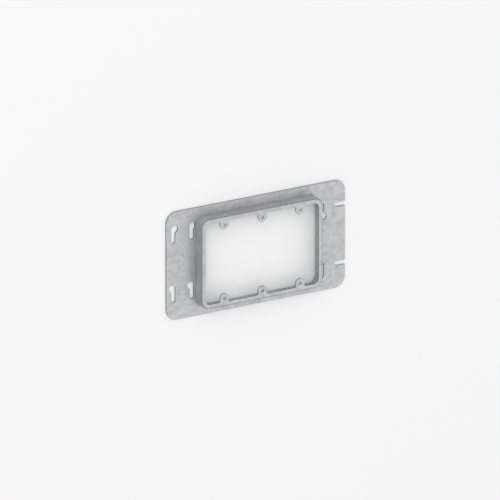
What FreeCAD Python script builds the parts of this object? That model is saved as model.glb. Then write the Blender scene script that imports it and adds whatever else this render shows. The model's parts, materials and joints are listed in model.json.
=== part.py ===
import FreeCAD, Part
import math
import os
import Sketcher

VECTOR = FreeCAD.Vector

# Three-gang raised mud ring, drawn and pierced from one sheet of galvanised steel.
# It lies on its back face: x along the gangs, y up the plate, z towards the rim.
# Every length is in millimetres and is written once, in this table.
SIZES = (
    ("sheet_thickness", 1.6, "sixteen gauge sheet"),
    ("ring_rise", 15.875, "back of the plate to the front of the rim, 5/8 inch"),
    ("gang_pitch", 46.0375, "device to device, 1-13/16 inch"),
    ("screw_span", 83.34375, "upper to lower device screw, 3-9/32 inch"),
    ("collar_end", 27.7, "outer screw columns to the collar's end walls"),
    ("collar_side", 9.38, "screw rows to the collar's long walls"),
    ("side_flange", 34.86, "collar wall to the plate's left and right edges"),
    ("long_flange", 10.05, "collar wall to the plate's upper and lower edges"),
    ("plate_corner", 12.7, "plate corner radius"),
    ("collar_corner", 9.8, "outer corner radius of the collar"),
    ("root_bend", 0.6, "inside bend radius where the collar leaves the plate"),
    ("lip_bend", 0.3, "inside bend radius where the lip turns in"),
    ("lip_width", 5.2, "width of the turned-in lip"),
    ("opening_corner", 5.5, "corner radius of the opening in the lip"),
    ("ear_width", 10.65, "width of a screw ear"),
    ("ear_root", 0.9, "corner radius where an ear leaves the lip"),
    ("screw_hole", 3.5, "tapped hole for a number six device screw"),
    ("row_inset", 27.6, "plate's upper and lower edges to the box screw rows"),
    ("slot_width", 5.0, "keyhole and edge slots, for number eight box screws"),
    ("keyhole_head", 8.2, "diameter of the keyhole head"),
    ("keyhole_lift", 7.9, "box screw row to the centre of the keyhole head"),
    ("keyhole_drop", 7.9, "box screw row to the rounded end of the slot"),
    ("keyhole_flat_drop", 6.9, "box screw row to the flat end of the slot"),
    ("keyhole_end_corner", 1.0, "corner radius of the flat slot ends"),
    ("keyhole_stop", 0.45, "gap left between a clipped head and the collar"),
    ("outer_keyhole_gap", 8.5, "plate's left edge to the outer keyholes"),
    ("inner_keyhole_gap", 4.26, "collar wall to the left inner keyholes"),
    ("right_keyhole_gap", 6.76, "collar wall to the right inner keyholes"),
    ("right_keyhole_shift", 2.6, "how far the right keyholes sit below their rows"),
    ("edge_slot_depth", 10.5, "plate's right edge to the round end of its slots"),
    ("edge_slot_mouth", 0.8, "corner radius at the mouth of the edge slots"),
    ("edge_roll", 0.3, "rounded-over outline left by the blanking tool"),
    ("edge_break", 0.2, "sharp edge taken off round the opening"),
)


class Size:
    """A length that carries both its value and its formula in the size table."""

    def __init__(self, value, formula):
        self.value = value
        self.formula = formula

    def combine(self, other, sign):
        if not isinstance(other, Size):
            other = Size(other, str(other))
        value = {
            "+": self.value + other.value,
            "-": self.value - other.value,
            "*": self.value * other.value,
            "/": self.value / other.value if other.value else 0.0,
        }[sign]
        return Size(value, f"({self.formula} {sign} {other.formula})")

    def __add__(self, other):
        return self.combine(other, "+")

    def __sub__(self, other):
        return self.combine(other, "-")

    def __mul__(self, other):
        return self.combine(other, "*")

    def __truediv__(self, other):
        return self.combine(other, "/")

    def __neg__(self):
        return self * -1


class Outline:
    """A closed path in a sketch, drawn piece by piece and then dimensioned."""

    def __init__(self, sketch, name):
        self.sketch = sketch
        self.name = name
        self.pieces = []

    def line(self, start, end, hold):
        segment = Part.LineSegment(VECTOR(*start, 0), VECTOR(*end, 0))
        index = self.sketch.addGeometry(segment, False)
        self.pieces.append((index, 1, 2))
        self.rule(hold, index)
        return index

    def arc(self, start, end, centre, leftward):
        """An arc from start to end; leftward means the path turns left along it."""
        first, last = (start, end) if leftward else (end, start)
        turn_from = math.atan2(first[1] - centre[1], first[0] - centre[0])
        turn_to = math.atan2(last[1] - centre[1], last[0] - centre[0])
        if turn_to <= turn_from:
            turn_to += 2 * math.pi
        circle = Part.Circle(VECTOR(*centre, 0), VECTOR(0, 0, 1), math.dist(centre, start))
        index = self.sketch.addGeometry(Part.ArcOfCircle(circle, turn_from, turn_to), False)
        self.pieces.append((index, 1, 2) if leftward else (index, 2, 1))
        return index

    def close(self, sharp=()):
        """Join the pieces end to end, smoothly except after the pieces named as sharp."""
        for number, (index, _, end) in enumerate(self.pieces):
            following, start, _ = self.pieces[(number + 1) % len(self.pieces)]
            self.rule("Coincident" if index in sharp else "Tangent", index, end, following, start)

    def rule(self, kind, *references):
        return self.sketch.addConstraint(Sketcher.Constraint(kind, *references))

    def size(self, kind, references, length):
        """A dimension that follows the size table."""
        index = self.rule(kind, *references, length.value)
        label = f"{self.name}_{index}"
        self.sketch.renameConstraint(index, label)
        self.sketch.setExpression(f"Constraints.{label}", length.formula)

    def place(self, index, point, x=None, y=None):
        """Hold a point at a signed distance from the origin."""
        for kind, length, axis in (("DistanceX", x, -2), ("DistanceY", y, -1)):
            if length is None:
                continue
            if abs(length.value) < 1e-9:
                self.rule("PointOnObject", index, point, axis)
            elif length.value > 0:
                self.size(kind, (-1, 1, index, point), length)
            else:
                self.size(kind, (index, point, -1, 1), -length)


def size_table(document):
    """The sheet of driving sizes, and the same sizes as values that know their formula."""
    sheet = document.addObject("Spreadsheet::Sheet", "Sizes")
    sizes = {}
    for row, (alias, value, note) in enumerate(SIZES, 1):
        sheet.set(f"A{row}", alias)
        sheet.set(f"B{row}", str(value))
        sheet.set(f"C{row}", note)
        sheet.setAlias(f"B{row}", alias)
        sizes[alias] = Size(value, f"Sizes.{alias}")
    document.recompute()
    return sizes


def new_sketch(body, name, height=None):
    """A sketch on the back face, or lifted to a height above it."""
    sketch = body.newObject("Sketcher::SketchObject", name)
    plane = next(item for item in body.Origin.OriginFeatures if item.Role == "XY_Plane")
    sketch.AttachmentSupport = [(plane, "")]
    sketch.MapMode = "FlatFace"
    if height is not None:
        sketch.setExpression("AttachmentOffset.Base.z", height.formula)
    return sketch


def checked(feature):
    """Recompute one feature and make sure that it came out sound."""
    feature.Document.recompute()
    if feature.Shape.isNull() or not feature.Shape.isValid():
        raise ValueError(f"{feature.Label} has no sound shape")
    if "Invalid" in feature.State or "Error" in feature.State:
        raise ValueError(f"{feature.Label} is {feature.State}")
    return feature


def pad(body, sketch, name, length, downward=False):
    feature = body.newObject("PartDesign::Pad", name)
    feature.Profile = sketch
    feature.setExpression("Length", length.formula)
    feature.Reversed = downward
    sketch.Visibility = False
    return checked(feature)


def pocket(body, sketch, name, length=None, upward=False):
    """Cut a sketch through everything, or to a depth."""
    before = body.Shape.Volume
    feature = body.newObject("PartDesign::Pocket", name)
    feature.Profile = sketch
    feature.Reversed = upward
    if length is None:
        feature.Type = "ThroughAll"
    else:
        feature.setExpression("Length", length.formula)
    sketch.Visibility = False
    checked(feature)
    if feature.Shape.Volume >= before:
        raise ValueError(f"{name} took nothing away")
    return feature


def dress(body, kind, name, size, wanted):
    """Round or bevel the edges of the last feature that the test picks."""
    base = body.Tip
    names = [f"Edge{n}" for n, edge in enumerate(base.Shape.Edges, 1) if wanted(edge)]
    if not names:
        raise ValueError(f"{name} found no edges")
    feature = body.newObject(f"PartDesign::{kind}", name)
    feature.Base = (base, names)
    feature.setExpression("Radius" if kind == "Fillet" else "Size", size.formula)
    return checked(feature)


def fillet(body, name, radius, wanted):
    return dress(body, "Fillet", name, radius, wanted)


def chamfer(body, name, size, wanted):
    return dress(body, "Chamfer", name, size, wanted)


def level(edge, height):
    """True for an edge that lies flat at a height."""
    box = edge.BoundBox
    return abs(box.ZMin - height) < 1e-4 and abs(box.ZMax - height) < 1e-4


def within(edge, half_width, half_height, slack=0.01):
    """True for an edge that stays inside a centred rectangle."""
    box = edge.BoundBox
    across = max(abs(box.XMin), abs(box.XMax)) <= half_width + slack
    return across and max(abs(box.YMin), abs(box.YMax)) <= half_height + slack


def loop_at(shape, height, outer):
    """The outline of the largest flat face at a height, or of its largest opening."""
    faces = [face for face in shape.Faces
             if abs(face.BoundBox.ZMin - height) < 1e-4 and abs(face.BoundBox.ZMax - height) < 1e-4]
    face = max(faces, key=lambda item: item.Area)
    wires = [wire for wire in face.Wires if outer or not wire.isSame(face.OuterWire)]
    return max(wires, key=lambda item: item.Length).Edges


def upright_at(edge, spots, slack=0.05):
    """True for a straight upright edge that stands at one of the spots."""
    box = edge.BoundBox
    if box.XLength > 1e-4 or box.YLength > 1e-4:
        return False
    return any(abs(box.XMin - x) < slack and abs(box.YMin - y) < slack for x, y in spots)


def rounded_rectangle(sketch, name, width, height, corner):
    """A centred rectangle with equal rounded corners."""
    x = width.value / 2
    y = height.value / 2
    r = corner.value
    path = Outline(sketch, name)
    first = path.arc((x, y - r), (x - r, y), (x - r, y - r), True)
    top = path.line((x - r, y), (r - x, y), "Horizontal")
    second = path.arc((r - x, y), (-x, y - r), (r - x, y - r), True)
    left = path.line((-x, y - r), (-x, r - y), "Vertical")
    third = path.arc((-x, r - y), (r - x, -y), (r - x, r - y), True)
    bottom = path.line((r - x, -y), (x - r, -y), "Horizontal")
    fourth = path.arc((x - r, -y), (x, r - y), (x - r, r - y), True)
    right = path.line((x, r - y), (x, y - r), "Vertical")
    path.close()
    for other in (second, third, fourth):
        path.rule("Equal", first, other)
    path.rule("Symmetric", first, 3, third, 3, -1, 1)
    path.size("Radius", (first,), corner)
    path.size("DistanceX", (left, 1, right, 1), width)
    path.size("DistanceY", (bottom, 1, top, 1), height)


def ear_outline(sketch, name, x, y, root, width):
    """A round-ended ear from the lip to its screw hole, hanging down or standing up."""
    side = 1 if y.value > 0 else -1
    half = width.value / 2
    far = root.value
    path = Outline(sketch, name)
    left = (x.value - half, y.value)
    right = (x.value + half, y.value)
    path.line((left[0], far), left, "Vertical")
    tip = path.arc(left, right, (x.value, y.value), side > 0)
    rising = path.line(right, (right[0], far), "Vertical")
    base = path.line((right[0], far), (left[0], far), "Horizontal")
    path.close(sharp=(rising, base))
    path.size("Radius", (tip,), width / 2)
    path.place(tip, 3, x, y)
    path.place(base, 1, y=root)


def screw_circle(sketch, name, x, y, diameter):
    """A circle for a hole at a signed place."""
    path = Outline(sketch, name)
    circle = Part.Circle(VECTOR(x.value, y.value, 0), VECTOR(0, 0, 1), diameter.value / 2)
    index = sketch.addGeometry(circle, False)
    path.size("Diameter", (index,), diameter)
    path.place(index, 3, x, y)


def edge_slot(sketch, name, inner, row, width, beyond):
    """A slot with a round inner end that runs out past the right edge."""
    half = width.value / 2
    x, y = inner.value, row.value
    path = Outline(sketch, name)
    end = path.arc((x, y + half), (x, y - half), (x, y), True)
    lower = path.line((x, y - half), (beyond.value, y - half), "Horizontal")
    mouth = path.line((beyond.value, y - half), (beyond.value, y + half), "Vertical")
    path.line((beyond.value, y + half), (x, y + half), "Horizontal")
    path.close(sharp=(lower, mouth))
    path.size("Radius", (end,), width / 2)
    path.place(end, 3, inner, row)
    path.place(mouth, 1, x=beyond)


def keyhole(sketch, name, sizes, x, head_y, end_y, lean, flat=False, stop=None):
    """A twist-lock keyhole: a slot with a round head that bulges to one side only.

    The slot runs from its end at end_y to the head; lean is +1 for a bulge to the right
    and -1 for a bulge to the left. A flat end has small corners. A head that would pass
    the stop is clipped along an upright line there.
    """
    half = sizes["slot_width"].value / 2
    radius = sizes["keyhole_head"].value / 2
    rise = 1 if head_y.value > end_y.value else -1
    leftward = lean * rise > 0
    # The head touches the slot's plain side and bulges past the other.
    plain = x - sizes["slot_width"] / 2 * lean
    centre = (plain.value + lean * radius, head_y.value)
    other = x.value + lean * half
    drop = math.sqrt(radius ** 2 - (other - centre[0]) ** 2)
    junction = (other, centre[1] - rise * drop)
    clipped = stop is not None and (centre[0] + lean * radius - stop.value) * lean > 0
    path = Outline(sketch, name)
    sharp = []
    if flat:
        corner = sizes["keyhole_end_corner"].value
        end = end_y.value
        up = end + rise * corner
        side = path.line(junction, (other, up), "Vertical")
        inner = other - lean * corner
        outer = plain.value + lean * corner
        near = path.arc((other, up), (inner, end), (inner, up), not leftward)
        floor = path.line((inner, end), (outer, end), "Horizontal")
        far = path.arc((outer, end), (plain.value, up), (outer, up), not leftward)
        path.size("Radius", (near,), sizes["keyhole_end_corner"])
        path.rule("Equal", near, far)
        path.place(floor, 1, y=end_y)
        foot = (plain.value, up)
    else:
        middle = end_y.value + rise * half
        side = path.line(junction, (other, middle), "Vertical")
        ball = path.arc((other, middle), (plain.value, middle), (x.value, middle), not leftward)
        path.size("Radius", (ball,), sizes["slot_width"] / 2)
        path.place(ball, 3, y=end_y + sizes["slot_width"] / 2 * rise)
        foot = (plain.value, middle)
    top = (plain.value, head_y.value)
    back = path.line(foot, top, "Vertical")
    if not clipped:
        head = path.arc(top, junction, centre, not leftward)
        sharp.append(head)
    else:
        reach = math.sqrt(radius ** 2 - (stop.value - centre[0]) ** 2)
        upper = (stop.value, centre[1] + rise * reach)
        lower = (stop.value, centre[1] - rise * reach)
        head = path.arc(top, upper, centre, not leftward)
        clip = path.line(upper, lower, "Vertical")
        rest = path.arc(lower, junction, centre, not leftward)
        sharp += [head, clip, rest]
    path.close(sharp=sharp)
    if clipped:
        path.rule("Coincident", head, 3, rest, 3)
        path.rule("Equal", head, rest)
        path.place(clip, 1, x=stop)
    path.size("Radius", (head,), sizes["keyhole_head"] / 2)
    path.place(head, 3, y=head_y)
    path.place(back, 1, x=plain)
    if flat:
        path.place(side, 1, x=x + sizes["slot_width"] / 2 * lean)


def build():
    document = FreeCAD.newDocument("MudRing")
    s = size_table(document)
    body = document.addObject("PartDesign::Body", "MudRingBody")
    body.Label = "mud_ring"
    thickness = s["sheet_thickness"]
    rise = s["ring_rise"]
    collar_width = (s["gang_pitch"] + s["collar_end"]) * 2
    collar_height = s["screw_span"] + s["collar_side"] * 2
    plate_width = collar_width + s["side_flange"] * 2
    plate_height = collar_height + s["long_flange"] * 2
    wall_x = collar_width / 2
    edge_x = plate_width / 2

    # The flat plate and the collar block that is drawn up from it
    sketch = new_sketch(body, "PlateOutline")
    rounded_rectangle(sketch, "plate", plate_width, plate_height, s["plate_corner"])
    pad(body, sketch, "Plate", thickness)
    sketch = new_sketch(body, "CollarOutline")
    rounded_rectangle(sketch, "collar", collar_width, collar_height, s["collar_corner"])
    pad(body, sketch, "Collar", rise)

    # Outer bends: the rolled rim, and the root where the wall leaves the plate
    def by_collar(edge):
        return within(edge, wall_x.value, collar_height.value / 2)

    fillet(body, "RimBend", s["lip_bend"] + thickness, lambda edge: level(edge, rise.value))
    fillet(body, "RootBend", s["root_bend"],
           lambda edge: level(edge, thickness.value) and by_collar(edge))

    # The hollow behind the collar, one sheet thickness inside its walls and rim
    sketch = new_sketch(body, "HollowOutline")
    rounded_rectangle(sketch, "hollow", collar_width - thickness * 2,
                      collar_height - thickness * 2, s["collar_corner"] - thickness)
    pocket(body, sketch, "Hollow", rise - thickness, upward=True)
    fillet(body, "LipBend", s["lip_bend"],
           lambda edge: level(edge, rise.value - thickness.value))
    fillet(body, "MouthBend", s["root_bend"] + thickness,
           lambda edge: level(edge, 0) and by_collar(edge))

    # The opening that leaves the lip standing
    opening_height = collar_height - s["lip_width"] * 2
    sketch = new_sketch(body, "OpeningOutline", rise)
    rounded_rectangle(sketch, "opening", collar_width - s["lip_width"] * 2,
                      opening_height, s["opening_corner"])
    pocket(body, sketch, "Opening")

    # Six ears for the device screws, level with the lip
    columns = (-s["gang_pitch"], s["gang_pitch"] * 0, s["gang_pitch"])
    rows = (s["screw_span"] / 2, -(s["screw_span"] / 2))
    spots = [(x, y) for x in columns for y in rows]
    sketch = new_sketch(body, "EarOutlines", rise)
    root = opening_height / 2 + s["lip_width"] / 3
    for number, (x, y) in enumerate(spots, 1):
        ear_outline(sketch, f"ear{number}", x, y, root if y.value > 0 else -root, s["ear_width"])
    pad(body, sketch, "Ears", thickness, downward=True)
    half_ear = s["ear_width"].value / 2
    roots = [(x.value + side * half_ear, opening_height.value / 2 * sign)
             for x in columns for side in (-1, 1) for sign in (-1, 1)]
    fillet(body, "EarRoots", s["ear_root"], lambda edge: upright_at(edge, roots))
    sketch = new_sketch(body, "ScrewPlaces", rise)
    for number, (x, y) in enumerate(spots, 1):
        screw_circle(sketch, f"screw{number}", x, y, s["screw_hole"])
    holes = body.newObject("PartDesign::Hole", "ScrewHoles")
    holes.Profile = sketch
    document.recompute()
    holes.DepthType = "ThroughAll"
    holes.setExpression("Diameter", s["screw_hole"].formula)
    sketch.Visibility = False
    checked(holes)

    # Keyholes: heads up on the left, heads down on the right
    box_row = plate_height / 2 - s["row_inset"]
    outer_x = s["outer_keyhole_gap"] - edge_x
    inner_x = -(wall_x + s["inner_keyhole_gap"])
    right_x = wall_x + s["right_keyhole_gap"]
    stop = wall_x + s["keyhole_stop"]
    sketch = new_sketch(body, "KeyholeOutlines")
    for number, row in enumerate((box_row, -box_row), 1):
        upper = row.value > 0
        lean = 1 if upper else -1
        head = row + s["keyhole_lift"]
        keyhole(sketch, f"outer{number}", s, outer_x, head, row - s["keyhole_drop"], lean)
        keyhole(sketch, f"inner{number}", s, inner_x, head, row - s["keyhole_flat_drop"],
                lean, flat=True, stop=-stop if upper else None)
        low = row - s["right_keyhole_shift"]
        keyhole(sketch, f"right{number}", s, right_x, low - s["keyhole_lift"],
                low + s["keyhole_flat_drop"], lean, flat=True, stop=None if upper else stop)
    pocket(body, sketch, "Keyholes", upward=True)

    # Two slots that open through the right edge
    sketch = new_sketch(body, "EdgeSlotOutlines")
    for number, row in enumerate((box_row, -box_row), 1):
        edge_slot(sketch, f"edge{number}", edge_x - s["edge_slot_depth"], row,
                  s["slot_width"], edge_x + thickness)
    pocket(body, sketch, "EdgeSlots", upward=True)
    half_slot = s["slot_width"].value / 2
    mouths = [(edge_x.value, sign * box_row.value + side * half_slot)
              for sign in (-1, 1) for side in (-1, 1)]
    fillet(body, "SlotMouths", s["edge_slot_mouth"], lambda edge: upright_at(edge, mouths))

    # The blanked outline is rolled over slightly, and the opening's sharp edge is broken
    outline = loop_at(body.Tip.Shape, thickness.value, True)
    fillet(body, "OutlineRoll", s["edge_roll"],
           lambda edge: any(edge.isSame(other) for other in outline))
    opening = loop_at(body.Tip.Shape, rise.value, False)
    chamfer(body, "OpeningBreak", s["edge_break"],
            lambda edge: any(edge.isSame(other) for other in opening))
    document.recompute()

    for item in document.Objects:
        if "Invalid" in item.State or "Error" in item.State:
            raise ValueError(f"{item.Label} is {item.State}")
    shape = body.Shape
    if shape.isNull() or not shape.isValid() or len(shape.Solids) != 1:
        raise ValueError("the ring is not one sound solid")
    os.makedirs("parts", exist_ok=True)
    shape.exportStep("parts/mud_ring.step")
    box = shape.optimalBoundingBox(False, False)
    print(f"mud_ring {box.XLength:.3f} x {box.YLength:.3f} x {box.ZLength:.3f} mm")
    print(f"volume {shape.Volume:.1f} mm3, {len(shape.Faces)} faces")


build()
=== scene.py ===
import json
import math

import bmesh
import bpy
from mathutils import Matrix, Vector


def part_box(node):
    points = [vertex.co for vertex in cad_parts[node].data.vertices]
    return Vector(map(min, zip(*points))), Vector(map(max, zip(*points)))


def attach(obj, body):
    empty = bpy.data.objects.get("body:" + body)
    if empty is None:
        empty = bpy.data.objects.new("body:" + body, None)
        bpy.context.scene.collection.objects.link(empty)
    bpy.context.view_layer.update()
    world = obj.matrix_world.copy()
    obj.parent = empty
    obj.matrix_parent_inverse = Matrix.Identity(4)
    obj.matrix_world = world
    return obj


bl_info = {
    "name": "Mud Ring",
    "version": (1, 0, 0),
    "blender": (4, 5, 0),
    "location": "View3D > Sidebar > Mud Ring",
    "description": "Dresses a raised three-gang mud ring in zinc-coated steel and lights it",
    "category": "Object",
}

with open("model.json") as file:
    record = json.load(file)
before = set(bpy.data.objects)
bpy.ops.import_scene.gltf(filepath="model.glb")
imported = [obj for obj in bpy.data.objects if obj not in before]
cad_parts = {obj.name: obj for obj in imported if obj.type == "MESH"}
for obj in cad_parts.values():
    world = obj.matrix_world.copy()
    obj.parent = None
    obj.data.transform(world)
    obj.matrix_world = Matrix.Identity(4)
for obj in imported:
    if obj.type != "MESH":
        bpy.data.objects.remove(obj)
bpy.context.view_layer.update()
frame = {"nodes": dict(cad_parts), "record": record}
NODE = "mud_ring"
BODY = "root"
RIM_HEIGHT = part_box(NODE)[1][2]
MOUNTS = {mount["name"]: mount for mount in frame["record"]["mounts"]}
CORNER_SCREWS = MOUNTS["device_screws_corners"]["dims"]
MM = 0.001
INCH = 25.4 * MM
X, Y, Z = range(3)

WHITE = (1.0, 1.0, 1.0)

# Where the lamps stand, seen from the ring, and each lamp's width as a share of its distance
KEY_FROM = (-0.55, 0.75, 0.85)
SHEEN_FROM = (0.62, -0.30, 0.80)
LAMP_SPREAD = 0.80

# How level a surface lies, from 0 upright to 1 flat, where walls end and bends begin and end
WALLS_END = (0.3, 0.6)
BENDS_BEGIN = (0.08, 0.3)
BENDS_END = (0.9, 0.995)
CUTS_END = 0.8

# How deep into the sheet, as shares of its thickness, a burnished cut turns torn
TORN_BEGINS = (0.28, 0.38)


def length(name, description, default, low=0.0):
    """A length in metres that the sidebar shows in the scene's own unit."""
    return bpy.props.FloatProperty(
        name=name, description=description, default=default, min=low, unit="LENGTH",
        subtype="DISTANCE", precision=5
    )


def colour(name, description, default):
    """A colour that the sidebar shows as a swatch."""
    return bpy.props.FloatVectorProperty(
        name=name, description=description, default=default, size=3, min=0.0, max=1.0, subtype="COLOR"
    )


def amount(name, description, default):
    """A plain share, from none to all."""
    return bpy.props.FloatProperty(
        name=name, description=description, default=default, min=0.0, max=1.0, subtype="FACTOR"
    )


def angle(name, description, degrees):
    """An angle, kept in radians."""
    return bpy.props.FloatProperty(
        name=name, description=description, default=math.radians(degrees), subtype="ANGLE", unit="ROTATION"
    )


def power(name, description, watts):
    """The power of a lamp."""
    return bpy.props.FloatProperty(
        name=name, description=description, default=watts, min=0.0, subtype="POWER", unit="POWER"
    )


class RingSizes(bpy.types.PropertyGroup):
    """Sizes of the ring that its finish and its screw threads follow."""

    sheet: length("Sheet", "Thickness of the sheet", 1.6 * MM)
    collar_end: length("Collar end", "Outer screw columns to the collar's end walls", 27.7 * MM)
    collar_side: length("Collar side", "Screw rows to the collar's long walls", 9.38 * MM)
    collar_corner: length("Collar corner", "Outer corner radius of the collar", 9.8 * MM)
    lip_width: length("Lip width", "Width of the turned-in lip", 5.2 * MM)
    root_bend: length("Root bend", "Inside bend radius at the foot of the collar", 0.6 * MM)
    thread_pitch: length("Thread pitch", "One turn of the 32 per inch screw thread", INCH / 32)
    thread_depth: length("Thread depth", "How far the thread stands into its hole", 0.33 * MM)
    thread_crest: length("Thread crest", "Width of the flat on top of the thread", 0.1 * MM)


class SheetFinish(bpy.types.PropertyGroup):
    """Look of the zinc coat and of the sheared steel."""

    zinc: colour("Zinc", "Colour of the zinc coat", (0.505, 0.518, 0.527))
    # Dull zinc is also the painted shade along the bends
    dull_zinc_and_bend_shade: colour("Dull zinc", "Colour of the coat where it is stretched or rubbed", (0.26, 0.27, 0.28))
    bare_steel: colour("Bare steel", "Colour of the sheared edges", (0.30, 0.295, 0.29))
    # Thread steel is darkened past oily steel as painted shade inside the holes
    thread_steel_and_shade: colour("Thread steel", "Colour of the oily tapped threads", (0.10, 0.098, 0.095))
    spangle_size: length("Spangle size", "Typical width of a zinc crystal", 4.5 * MM)
    ragged: length("Ragged", "How far the edges of the crystals wander", 1.6 * MM)
    spangle: amount("Spangle", "How strongly the crystals differ in tone", 0.20)
    feather: amount("Feather", "How strongly the streaks inside the crystals show", 0.11)
    frost: amount("Frost", "How strongly the fine mottling shows", 0.10)
    grain: amount("Grain", "How strongly the rolling grain shows", 0.08)
    facet: amount("Facet", "How far each crystal leans out of the sheet's face", 0.05)
    metal: amount("Metal", "How metallic the coat is under its thin film of oxide", 0.82)
    roughness: amount("Roughness", "Roughness of the clean coat", 0.46)
    relief: length("Relief", "Height of the rolling grain and the draw marks", 0.012 * MM)
    # Bend wear is partly stretched coat and partly painted shade along the bends
    bend_wear_and_shade: amount("Bend wear", "How far the coat is dulled where it is bent", 0.9)
    draw_marks: amount("Draw marks", "How far the draw marks dull the walls", 0.45)
    rubs: amount("Rubs", "How far the rubbed patches are dulled", 0.18)
    scuffs: amount("Scuffs", "How far the fine scuffs are dulled", 0.12)


class StudioSettings(bpy.types.PropertyGroup):
    """Floor, lamps and camera."""

    floor: colour("Floor", "Colour of the floor", (0.93, 0.93, 0.93))
    floor_lift: amount("Floor lift", "Extra white that only the camera sees on the floor", 0.05)
    floor_reach: length("Floor reach", "From the ring to the floor's edges", 6.0)
    floor_gap: length("Floor gap", "Room between the plate's back and the floor", 0.05 * MM)
    daylight: amount("Daylight", "Strength of the even light all round", 0.80)
    key_power: power("Key lamp", "Lamp above the upper left", 46.0)
    sheen_power: power("Sheen lamp", "Lamp that the plate mirrors", 5.0)
    lamp_distance: length("Lamp distance", "From the ring to each lamp", 4.5)
    azimuth: angle("Azimuth", "Turn of the view round the upright plate", -29.178)
    elevation: angle("Elevation", "Height of the view over the upright plate", 20.802)
    view_width: length("View width", "Width that the picture covers at the ring", 530.75 * MM)
    aim_right: length("Aim right", "Picture centre to the right of the plate's", -5.485 * MM, low=-1.0)
    aim_up: length("Aim up", "Picture centre above the plate's", -0.653 * MM, low=-1.0)
    lens: bpy.props.FloatProperty(
        name="Lens", description="Focal length, long enough for nearly parallel lines", default=1000.0,
        min=50.0, unit="CAMERA"
    )


class Field:
    """A shader value, or a vector, that takes part in ordinary arithmetic."""

    def __init__(self, shader, socket):
        self.shader = shader
        self.socket = socket

    def math(self, operation, *others):
        """A Math node on this value and the others."""
        values = dict(enumerate((self, *others)))
        return self.shader.node("ShaderNodeMath", {"operation": operation}, values)

    def __add__(self, other):
        return self.math("ADD", other)

    def __radd__(self, other):
        return self.math("ADD", other)

    def __sub__(self, other):
        return self.math("SUBTRACT", other)

    def __rsub__(self, other):
        return self.math("MULTIPLY_ADD", -1.0, other)

    def __mul__(self, other):
        return self.math("MULTIPLY", other)

    def __rmul__(self, other):
        return self.math("MULTIPLY", other)

    def __pow__(self, other):
        return self.math("POWER", other)

    def __abs__(self):
        return self.math("ABSOLUTE")

    def above(self, edge):
        """1 where the value is over the edge, 0 elsewhere."""
        return self.math("GREATER_THAN", edge)

    def below(self, edge):
        """1 where the value is under the edge, 0 elsewhere."""
        return self.math("LESS_THAN", edge)

    def highest(self, other):
        """The higher of the two values."""
        return self.math("MAXIMUM", other)

    def lowest(self, other):
        """The lower of the two values."""
        return self.math("MINIMUM", other)

    def ramp(self, low, high):
        """0 at low and 1 at high, smooth between and held beyond."""
        return self.shader.node(
            "ShaderNodeMapRange", {"interpolation_type": "SMOOTHSTEP"},
            {"Value": self, "From Min": low, "From Max": high}
        )


class Shader:
    """The nodes of one material, or of the world, added one at a time."""

    def __init__(self, owner):
        owner.use_nodes = True
        self.owner = owner
        self.tree = owner.node_tree
        self.tree.nodes.clear()

    def node(self, kind, settings=None, sockets=None, output=0):
        """Adds a node, sets it up, fills its sockets and gives back one of its outputs."""
        made = self.tree.nodes.new(kind)
        for name, value in (settings or {}).items():
            setattr(made, name, value)
        for key, value in (sockets or {}).items():
            if isinstance(value, Field):
                self.tree.links.new(value.socket, made.inputs[key])
            else:
                made.inputs[key].default_value = value
        return Field(self, made.outputs[output]) if made.outputs else None

    def vector(self, operation, *values, **named):
        """Vector arithmetic on links, plain vectors or a scale."""
        sockets = {**dict(enumerate(values)), **named}
        return self.node("ShaderNodeVectorMath", {"operation": operation}, sockets)

    def parts(self, vector):
        """The three parts of a vector."""
        return [self.node("ShaderNodeSeparateXYZ", None, {0: vector}, output=axis) for axis in (X, Y, Z)]

    def millimetres(self):
        """The place on the part, in millimetres from its origin."""
        return self.vector("SCALE", self.node("ShaderNodeTexCoord", output="Object"), Scale=1 / MM)

    def noise(self, place, size, detail=2.0, roughness=0.5, output=0):
        """Cloudy noise with blotches of about the size, in millimetres."""
        sockets = {"Vector": place, "Scale": 1 / size, "Detail": detail, "Roughness": roughness}
        return self.node("ShaderNodeTexNoise", None, sockets, output)

    def streaks(self, place, axis, long, fine, detail=4.0, roughness=0.6):
        """Noise drawn out along one axis: streaks so long and so fine, in millimetres."""
        stretch = [1 / fine] * 3
        stretch[axis] = 1 / long
        return self.noise(self.vector("MULTIPLY", place, stretch), 1.0, detail, roughness)

    def mix(self, factor, first, second):
        """A colour between two colours."""
        settings = {"data_type": "RGBA", "clamp_factor": True}
        return self.node("ShaderNodeMix", settings, {0: factor, 6: first, 7: second}, output=2)

    def grey(self, value):
        """A colour or vector with the same value three times."""
        return self.node("ShaderNodeCombineXYZ", None, {X: value, Y: value, Z: value})

    def tone(self, rgb, shade):
        """A plain colour made darker or lighter by a value near 1."""
        return self.vector("MULTIPLY", tuple(rgb), self.grey(shade))

    def finish(self, surface, end="ShaderNodeOutputMaterial"):
        """Joins the surface to the output and gives back the finished material or world."""
        self.node(end, None, {"Surface": surface})
        return self.owner


def with_cover(rgb):
    """A colour with full cover, as colour sockets take it."""
    return (*rgb, 1.0)


def wall_distance(x, y, sizes):
    """How far a point lies outside the collar's outer walls, in millimetres, negative inside."""
    corner = sizes.collar_corner / MM
    half_width = CORNER_SCREWS["spacing_x_mm"] / 2 + sizes.collar_end / MM
    half_height = CORNER_SCREWS["spacing_y_mm"] / 2 + sizes.collar_side / MM
    past_x = abs(x) - (half_width - corner)
    past_y = abs(y) - (half_height - corner)
    outside = (past_x.highest(0.0) ** 2.0 + past_y.highest(0.0) ** 2.0) ** 0.5
    return outside + past_x.highest(past_y).lowest(0.0) - corner


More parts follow.
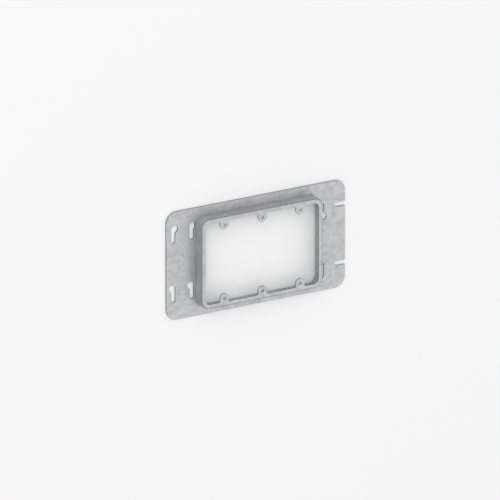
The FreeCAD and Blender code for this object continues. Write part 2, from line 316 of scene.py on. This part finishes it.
def sheet_zones(shader, place, sizes):
    """Where the sheet is sheared, torn, upright and bent, each from 0 to 1."""
    slack = 0.02
    sheet = sizes.sheet / MM
    rim = RIM_HEIGHT / MM
    x, y, z = shader.parts(place)
    flatness = abs(shader.parts(shader.node("ShaderNodeTexCoord", output="Normal"))[Z])
    beyond = wall_distance(x, y, sizes)
    plate_edge = z.below(sheet + slack) * beyond.above(sizes.root_bend / MM / 2)
    lip_edge = z.above(rim - sheet - slack) * beyond.below(slack - sizes.lip_width / MM)
    sheared = flatness.below(CUTS_END) * (plate_edge + lip_edge).lowest(1.0)
    coated = 1 - sheared
    # A cut edge is burnished by its front side and torn behind
    behind_front = (rim - z) * z.above(rim / 2) + (sheet - z) * z.below(rim / 2)
    torn = sheared * behind_front.ramp(*(share * sheet for share in TORN_BEGINS))
    upright = coated * (1 - flatness.ramp(*WALLS_END))
    bent = coated * flatness.ramp(*BENDS_BEGIN) * (1 - flatness.ramp(*BENDS_END))
    return sheared, torn, upright, bent


def zinc_crystals(shader, place, finish):
    """Tone, gloss, lean and feathering of the ragged-edged crystals of the zinc."""
    fray = shader.noise(place, 1.1, detail=3.0, output="Color")
    frayed = shader.vector("MULTIPLY_ADD", fray, [finish.ragged / MM] * 3, place)
    sockets = {"Vector": frayed, "Scale": MM / finish.spangle_size, "Randomness": 1.0}
    crystal = shader.node("ShaderNodeTexVoronoi", {"feature": "F1"}, sockets, output="Color")
    centred = shader.vector("SUBTRACT", crystal, (0.5, 0.5, 0.5))
    lean = shader.vector("SCALE", centred, Scale=2 * finish.facet)
    tone, gloss, heading = shader.parts(crystal)
    sockets = {"Vector": frayed, "Angle": heading * math.tau}
    own_way = shader.node("ShaderNodeVectorRotate", {"rotation_type": "Z_AXIS"}, sockets)
    feather = shader.streaks(own_way, X, long=3.0, fine=0.35, detail=3.0).ramp(0.36, 0.64)
    return tone - 0.5, gloss - 0.5, lean, feather - 0.5


def zinc_coated_sheet(sizes, finish):
    """Rolled and drawn sheet: zinc crystals, rolling grain, draw marks, bends dulled by stretching and
    darkened with painted shade, sheared edges.
    """
    shader = Shader(bpy.data.materials.new("zinc_coated_sheet"))
    place = shader.millimetres()
    sheared, torn, upright, bent = sheet_zones(shader, place, sizes)
    tone, gloss, lean, feather = zinc_crystals(shader, place, finish)

    # Grain and scuffs run along the plate, draw marks run up the walls
    frost = shader.noise(place, 0.45, detail=5.0, roughness=0.65) - 0.5
    smear = shader.noise(place, 28.0, detail=3.0) - 0.5
    grain = shader.streaks(place, X, long=20.0, fine=0.22) - 0.5
    scuff = shader.streaks(place, X, long=8.0, fine=0.11, detail=2.0).ramp(0.66, 0.70)
    rub = shader.streaks(place, Y, long=12.0, fine=3.5, detail=5.0, roughness=0.7).ramp(0.60, 0.72)
    drawn = shader.streaks(place, Z, long=16.0, fine=0.38)
    tear = shader.streaks(place, Z, long=1.1, fine=0.29, roughness=0.7) - 0.5

    # Colour
    shade = (
        1 + tone * finish.spangle + feather * finish.feather + frost * finish.frost + grain * finish.grain
    )
    zinc = shader.tone(finish.zinc, shade)
    # The bends take the dull colour partly as stretched coat and partly as painted shade that outlines the
    # folds; draw marks, rubs and scuffs are real wear
    wear_and_shade = (
        bent * finish.bend_wear_and_shade
        + upright * drawn.ramp(0.35, 0.7) * finish.draw_marks
        + rub * finish.rubs
        + scuff * finish.scuffs
    )
    coated = shader.mix(wear_and_shade, zinc, with_cover(finish.dull_zinc_and_bend_shade))
    steel = shader.tone(finish.bare_steel, 1.40 - torn * 0.95 + tear * 0.4)
    base = shader.mix(sheared, coated, steel)

    # Roughness
    coat_rough = (
        finish.roughness
        + gloss * 0.12
        + feather * 0.08
        + frost * 0.08
        + smear * 0.16
        + bent * 0.10
        - upright * drawn.ramp(0.4, 0.75) * 0.10
        + rub * 0.06
    )
    rough = coat_rough * (1 - sheared) + (0.34 + torn * 0.24) * sheared

    # Relief, as shares of the grain's height, and the lean of each crystal
    height = (
        grain * (1 - upright) * 0.8
        + (drawn - 0.5) * upright * 1.6
        + frost * 0.4
        + feather * 0.2
        + tear * torn * 4.0
        - scuff * 0.8
    )
    facing = shader.node("ShaderNodeNewGeometry", output="Normal")
    leaning = shader.vector("MULTIPLY_ADD", lean, shader.grey(1 - sheared), facing)
    faceted = shader.vector("NORMALIZE", leaning)
    normal = shader.node(
        "ShaderNodeBump", None, {"Height": height, "Distance": finish.relief, "Normal": faceted}
    )
    surface = shader.node(
        "ShaderNodeBsdfPrincipled", None,
        {"Base Color": base, "Metallic": finish.metal, "Roughness": rough, "Normal": normal}
    )
    return shader.finish(surface)


def cut_thread_steel(finish):
    """Oily steel inside the screw holes, marked by the tap, with painted shade darkening its colour."""
    shader = Shader(bpy.data.materials.new("cut_thread_steel"))
    chatter = shader.streaks(shader.millimetres(), Z, long=0.7, fine=0.17, detail=3.0, roughness=0.5)
    # The very dark thread colour is partly oil and partly painted shade inside the holes
    base = shader.tone(finish.thread_steel_and_shade, 0.85 + chatter * 0.6)
    normal = shader.node("ShaderNodeBump", None, {"Height": chatter * 0.6, "Distance": finish.relief})
    surface = shader.node(
        "ShaderNodeBsdfPrincipled", None,
        {"Base Color": base, "Metallic": 1.0, "Roughness": 0.36 + chatter * 0.2, "Normal": normal}
    )
    return shader.finish(surface)


def studio_floor_material(studio):
    """Matt white that the camera sees a little whiter than it is lit."""
    shader = Shader(bpy.data.materials.new("studio_floor"))
    seen = shader.node("ShaderNodeLightPath", output="Is Camera Ray") * studio.floor_lift
    surface = shader.node(
        "ShaderNodeBsdfPrincipled", None,
        {"Base Color": with_cover(studio.floor), "Roughness": 1.0, "Specular IOR Level": 0.0,
         "Emission Color": shader.grey(seen), "Emission Strength": 1.0}
    )
    return shader.finish(surface)


def screw_places():
    """Centres of the six ear holes on the rim's front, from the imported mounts."""
    half_x = CORNER_SCREWS["spacing_x_mm"] * MM / 2
    half_y = CORNER_SCREWS["spacing_y_mm"] * MM / 2
    return [Vector((x, y, RIM_HEIGHT)) for x in (-half_x, 0.0, half_x) for y in (-half_y, half_y)]


def thread_rise(sizes):
    """Half the height of the thread's crest, and the height of one flank, with a narrow root left."""
    flank_share = 0.92
    return sizes.thread_crest / 2, (sizes.thread_pitch - sizes.thread_crest) / 2 * flank_share


def thread_section(height, radius, top, sizes):
    """The thread's section at a height: its two roots and its crest, cut off at the sheet's faces."""
    embed = 0.02 * MM
    bottom = top - sizes.sheet
    crest, flank = thread_rise(sizes)
    outside = max(height - crest - top, bottom - height - crest, 0.0)
    wall = radius + embed
    inner = wall - (sizes.thread_depth + embed) * (1 - min(outside / flank, 1.0))
    section = (
        (wall, height + crest + flank),
        (inner, height + crest),
        (inner, height - crest),
        (wall, height - crest - flank),
    )
    return [(distance, min(max(level, bottom), top)) for distance, level in section]


def add_thread(mesh, centre, radius, sizes):
    """One screw thread that winds down through a hole and dies out at both faces of the sheet."""
    steps = 60
    start = sum(thread_rise(sizes))
    turns = (sizes.sheet + 2 * start) / sizes.thread_pitch
    rings = []
    for step in range(1, math.ceil(turns * steps)):
        turn = step / steps
        height = centre.z + start - turn * sizes.thread_pitch
        across = math.cos(turn * math.tau)
        along = -math.sin(turn * math.tau)
        ring = [
            mesh.verts.new((centre.x + distance * across, centre.y + distance * along, level))
            for distance, level in thread_section(height, radius, centre.z, sizes)
        ]
        rings.append(ring)
    for before, after in zip(rings, rings[1:]):
        for index in range(len(before)):
            following = (index + 1) % len(before)
            mesh.faces.new((before[index], before[following], after[following], after[index]))
    mesh.faces.new(rings[0])
    mesh.faces.new(reversed(rings[-1]))


def mesh_object(name, mesh, material):
    """Turns a finished bmesh into a scene object with one material."""
    data = bpy.data.meshes.new(name)
    bmesh.ops.recalc_face_normals(mesh, faces=mesh.faces)
    mesh.to_mesh(data)
    mesh.free()
    data.materials.append(material)
    piece = bpy.data.objects.new(name, data)
    bpy.context.scene.collection.objects.link(piece)
    return piece


class MUDRING_OT_dress_sheet(bpy.types.Operator):
    """Give the ring its zinc-coated finish"""

    bl_idname = "mudring.dress_sheet"
    bl_label = "Dress the sheet"

    def execute(self, context):
        ring = frame["nodes"][NODE]
        material = zinc_coated_sheet(context.scene.mudring_sizes, context.scene.mudring_finish)
        ring.data.materials.clear()
        ring.data.materials.append(material)
        return {"FINISHED"}


class MUDRING_OT_cut_threads(bpy.types.Operator):
    """Wind a fine screw thread into each of the six ear holes"""

    bl_idname = "mudring.cut_threads"
    bl_label = "Cut the screw threads"

    def execute(self, context):
        radius = CORNER_SCREWS["hole_r_mm"] * MM
        mesh = bmesh.new()
        for centre in screw_places():
            add_thread(mesh, centre, radius, context.scene.mudring_sizes)
        bmesh.ops.remove_doubles(mesh, verts=mesh.verts, dist=0.001 * MM)
        threads = mesh_object("ear_screw_threads", mesh, cut_thread_steel(context.scene.mudring_finish))
        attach(threads, BODY)
        return {"FINISHED"}


def add_floor(studio):
    """A wide floor just under the plate."""
    mesh = bmesh.new()
    bmesh.ops.create_grid(mesh, x_segments=4, y_segments=4, size=studio.floor_reach)
    floor = mesh_object("studio_floor", mesh, studio_floor_material(studio))
    floor.location.z = -studio.floor_gap


def light_world(daylight):
    """Even light all round; the camera and mirror-like surfaces see plain white instead."""
    shader = Shader(bpy.data.worlds.new("studio"))
    seen = [
        shader.node("ShaderNodeLightPath", output=ray)
        for ray in ("Is Camera Ray", "Is Glossy Ray", "Is Transmission Ray")
    ]
    white = seen[0].highest(seen[1]).highest(seen[2])
    strength = white * (1.0 - daylight) + daylight
    sockets = {"Color": with_cover(WHITE), "Strength": strength}
    background = shader.node("ShaderNodeBackground", None, sockets)
    bpy.context.scene.world = shader.finish(background, "ShaderNodeOutputWorld")


def add_lamp(name, direction, watts, distance):
    """A square soft lamp that points at the ring."""
    data = bpy.data.lights.new(name, "AREA")
    data.shape = "SQUARE"
    data.size = distance * LAMP_SPREAD
    data.energy = watts
    lamp = bpy.data.objects.new(name, data)
    towards = Vector(direction).normalized()
    lamp.location = towards * distance
    lamp.rotation_mode = "QUATERNION"
    lamp.rotation_quaternion = towards.to_track_quat("Z", "Y")
    bpy.context.scene.collection.objects.link(lamp)


def add_camera(studio):
    """A long lens that looks at the ring as the drawing does, with the plate's top edge up."""
    turn = studio.azimuth
    rise = studio.elevation
    right = Vector((math.cos(turn), 0.0, -math.sin(turn)))
    up = Vector((-math.sin(turn) * math.sin(rise), math.cos(rise), -math.cos(turn) * math.sin(rise)))
    back = right.cross(up)
    data = bpy.data.cameras.new("camera")
    data.lens = studio.lens
    distance = studio.view_width * data.lens / data.sensor_width
    data.clip_start = distance / 100
    data.clip_end = distance * 3
    camera = bpy.data.objects.new("camera", data)
    aim = right * studio.aim_right + up * studio.aim_up
    turned = Matrix((right, up, back)).transposed().to_4x4()
    camera.matrix_world = Matrix.Translation(aim + back * distance) @ turned
    bpy.context.scene.collection.objects.link(camera)
    bpy.context.scene.camera = camera


class MUDRING_OT_build_studio(bpy.types.Operator):
    """Lay the floor, hang the lamps and set the camera"""

    bl_idname = "mudring.build_studio"
    bl_label = "Build the studio"

    def execute(self, context):
        studio = context.scene.mudring_studio
        add_floor(studio)
        light_world(studio.daylight)
        add_lamp("key_lamp", KEY_FROM, studio.key_power, studio.lamp_distance)
        add_lamp("sheen_lamp", SHEEN_FROM, studio.sheen_power, studio.lamp_distance)
        add_camera(studio)
        context.scene.view_settings.view_transform = "Standard"
        return {"FINISHED"}


class MUDRING_PT_sidebar(bpy.types.Panel):
    """The ring's settings and steps in the sidebar."""

    bl_idname = "MUDRING_PT_sidebar"
    bl_label = "Mud Ring"
    bl_space_type = "VIEW_3D"
    bl_region_type = "UI"
    bl_category = "Mud Ring"

    def draw(self, context):
        scene = context.scene
        for group in (scene.mudring_sizes, scene.mudring_finish, scene.mudring_studio):
            box = self.layout.box()
            for name in group.__annotations__:
                box.prop(group, name)
        for operator in OPERATORS:
            self.layout.operator(operator.bl_idname)


OPERATORS = (MUDRING_OT_dress_sheet, MUDRING_OT_cut_threads, MUDRING_OT_build_studio)
GROUPS = (RingSizes, SheetFinish, StudioSettings)


def register():
    """Adds the classes and gives each scene its three groups of settings."""
    for cls in (*GROUPS, *OPERATORS, MUDRING_PT_sidebar):
        bpy.utils.register_class(cls)
    bpy.types.Scene.mudring_sizes = bpy.props.PointerProperty(type=RingSizes)
    bpy.types.Scene.mudring_finish = bpy.props.PointerProperty(type=SheetFinish)
    bpy.types.Scene.mudring_studio = bpy.props.PointerProperty(type=StudioSettings)


def unregister():
    """Takes the settings and the classes away again."""
    del bpy.types.Scene.mudring_studio
    del bpy.types.Scene.mudring_finish
    del bpy.types.Scene.mudring_sizes
    for cls in reversed((*GROUPS, *OPERATORS, MUDRING_PT_sidebar)):
        bpy.utils.unregister_class(cls)


def main():
    """Dresses the ring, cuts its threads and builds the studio."""
    register()
    bpy.ops.mudring.dress_sheet()
    bpy.ops.mudring.cut_threads()
    bpy.ops.mudring.build_studio()


if __name__ == "__main__":
    main()
